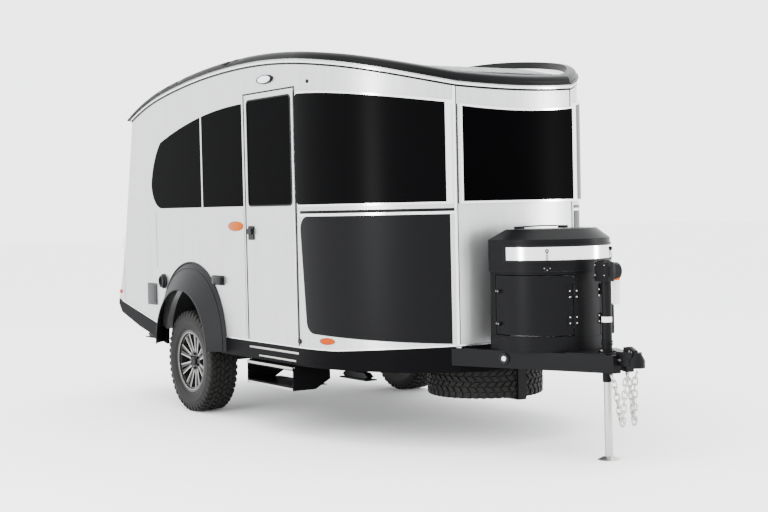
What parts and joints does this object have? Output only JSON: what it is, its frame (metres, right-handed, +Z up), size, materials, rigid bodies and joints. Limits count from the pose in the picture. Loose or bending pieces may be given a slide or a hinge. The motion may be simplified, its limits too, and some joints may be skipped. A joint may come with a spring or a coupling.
{
  "type": "travel caravan",
  "caption": "Hard-sided single-axle travel caravan with wraparound dark windows, side entry door, rear hatch, A-frame tongue, gas bottle cover and tongue jack.",
  "frame": {"origin": "on the ground, under the middle of the overall length and width", "axes": "+X forward to the coupler, +Y to the left side, +Z up"},
  "size_m": [4.96, 2.13, 2.446],
  "materials": {
    "aluminium_skin": "brushed sheet",
    "dark_glass": "tinted gloss",
    "roof_white": "satin",
    "black_trim": "satin",
    "bright_trim": "polished",
    "black_panel": "satin black",
    "black_plastic": "matte",
    "black_steel": "powder coat",
    "tyre_rubber": "matte rubber",
    "dark_alloy": "dark alloy with bright faces",
    "cast_drum": "cast",
    "bottle_white": "gloss white",
    "zinc_steel": "zinc plated",
    "floor_board": "coated sheet",
    "red_lens": "clear lens",
    "solar_glass": "dark cells"
  },
  "bodies": {
    "trailer": {"axle_beam": "black_steel", "belly_skirt_left": "black_trim", "belly_skirt_right": "black_trim", "chassis_frame": "black_steel", "coupler": "black_steel", "coupler_latch": "black_steel", "cover_drum": "black_panel", "fender_flare_left": "black_plastic", "fender_flare_right": "black_plastic", "floor_pan": "floor_board", "front_glass": "dark_glass", "front_wall": "aluminium_skin", "front_window_frame": "bright_trim", "gas_bottles": "bottle_white", "jack_body": "black_steel", "quarter_glass_left": "dark_glass", "quarter_glass_right": "dark_glass", "quarter_wall_left": "aluminium_skin", "quarter_wall_right": "aluminium_skin", "quarter_window_frame_left": "bright_trim", "quarter_window_frame_right": "bright_trim", "rear_bumper": "black_trim", "rear_wall": "aluminium_skin", "roof_edge_trim": "black_trim", "roof_panel": "roof_white", "safety_chains": "zinc_steel", "side_glass_left": "dark_glass", "side_glass_right": "dark_glass", "side_wall_left": "aluminium_skin", "side_wall_right": "aluminium_skin", "solar_panel": "solar_glass", "spare_carrier": "black_steel", "spare_rim": "dark_alloy", "spare_tyre": "tyre_rubber", "stabilizers": "black_steel", "step_runners": "black_steel", "stone_guard_left": "black_panel", "stone_guard_right": "black_panel", "tail_lights": "red_lens", "wheel_well_left": "black_plastic", "wheel_well_right": "black_plastic"},
    "wheel_left": {"brake_drum_left": "cast_drum", "rim_left": "dark_alloy", "tyre_left": "tyre_rubber"},
    "wheel_right": {"brake_drum_right": "cast_drum", "rim_right": "dark_alloy", "tyre_right": "tyre_rubber"},
    "cover_door_left": {"cover_door_left": "black_panel"},
    "cover_door_right": {"cover_door_right": "black_panel"},
    "cover_lid": {"cover_lid": "black_panel", "cover_plate": "bright_trim"},
    "entry_door": {"door_handle": "black_plastic", "entry_door": "aluminium_skin", "entry_door_glass": "dark_glass"},
    "entry_step": {"entry_step": "black_steel"},
    "jack_leg": {"jack_leg": "zinc_steel"},
    "rear_hatch": {"rear_hatch": "aluminium_skin", "rear_hatch_glass": "dark_glass"}
  },
  "joints": [
    {"name": "wheel_right_spin", "type": "hinge", "parent": "trailer", "child": "wheel_right", "pos_m": [-1.13018, -0.889, 0.361], "axis": [0, 1, 0], "continuous": true},
    {"name": "wheel_left_spin", "type": "hinge", "parent": "trailer", "child": "wheel_left", "pos_m": [-1.13018, 0.889, 0.361], "axis": [0, 1, 0], "continuous": true},
    {"name": "entry_door_swing", "type": "hinge", "parent": "trailer", "child": "entry_door", "pos_m": [0.40732, -0.966, 1.4], "axis": [0, 0, 1], "range_deg": [0, 150]},
    {"name": "rear_hatch_lift", "type": "hinge", "parent": "trailer", "child": "rear_hatch", "pos_m": [-2.19789, 0, 1.9925], "axis": [0, 1, 0], "range_deg": [0, 85]},
    {"name": "cover_lid_lift", "type": "hinge", "parent": "trailer", "child": "cover_lid", "pos_m": [1.58218, 0, 1.22174], "axis": [0, -1, 0], "range_deg": [0, 65]},
    {"name": "cover_door_right_swing", "type": "hinge", "parent": "trailer", "child": "cover_door_right", "pos_m": [2.03987, -0.10027, 0.86], "axis": [0, 0, 1], "range_deg": [0, 95]},
    {"name": "cover_door_left_swing", "type": "hinge", "parent": "trailer", "child": "cover_door_left", "pos_m": [2.03987, 0.10027, 0.86], "axis": [0, 0, -1], "range_deg": [0, 95]},
    {"name": "jack_slide", "type": "slide", "parent": "trailer", "child": "jack_leg", "axis": [0, 0, 1], "range_m": [-0.05, 0.38]},
    {"name": "entry_step_slide", "type": "slide", "parent": "trailer", "child": "entry_step", "axis": [0, -1, 0], "range_m": [0, 0.25]}
  ]
}
